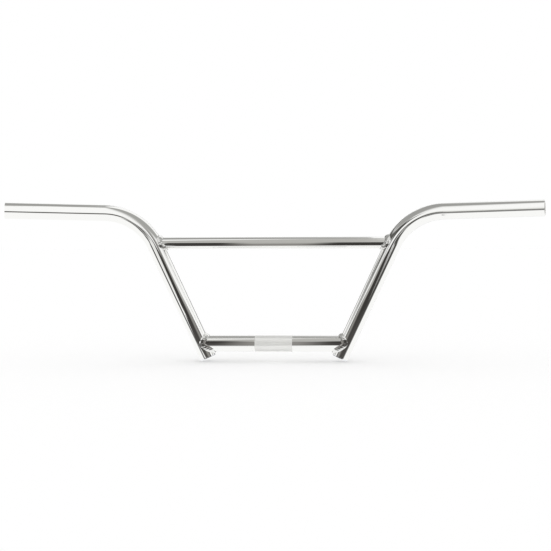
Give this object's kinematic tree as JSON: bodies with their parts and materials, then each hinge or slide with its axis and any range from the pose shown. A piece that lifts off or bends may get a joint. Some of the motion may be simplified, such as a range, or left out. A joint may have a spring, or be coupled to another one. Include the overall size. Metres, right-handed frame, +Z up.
{
  "type": "bmx handlebar",
  "caption": "Chrome-plated steel handlebar with two bent uprights, a knurled lower clamp bar and a crossbar, welded into one frame that a bicycle stem clamps.",
  "frame": {"origin": "middle of the knurled clamp, on the lower bar's axis", "axes": "+X along the lower bar to the rider's right, +Y forward, away from the rider, +Z up from the lower bar to the crossbar and grips"},
  "size_m": [0.7402, 0.0584, 0.2219],
  "materials": {
    "upright_tube": "bright decorative chrome plate on bent steel tube",
    "crossbar_tube": "bright decorative chrome plate on straight steel tube",
    "lower_tube": "bright decorative chrome plate on steel tube, straight-knurled in the middle",
    "weld_bead": "chrome plate over rippled weld beads",
    "leg_cap": "chrome plate over welded end discs"
  },
  "bodies": {
    "root": {"left_upright": "upright_tube", "right_upright": "upright_tube", "crossbar": "crossbar_tube", "lower_bar": "lower_tube", "left_crossbar_weld": "weld_bead", "right_crossbar_weld": "weld_bead", "left_lower_weld": "weld_bead", "right_lower_weld": "weld_bead", "left_leg_cap": "leg_cap", "right_leg_cap": "leg_cap"}
  },
  "joints": []
}
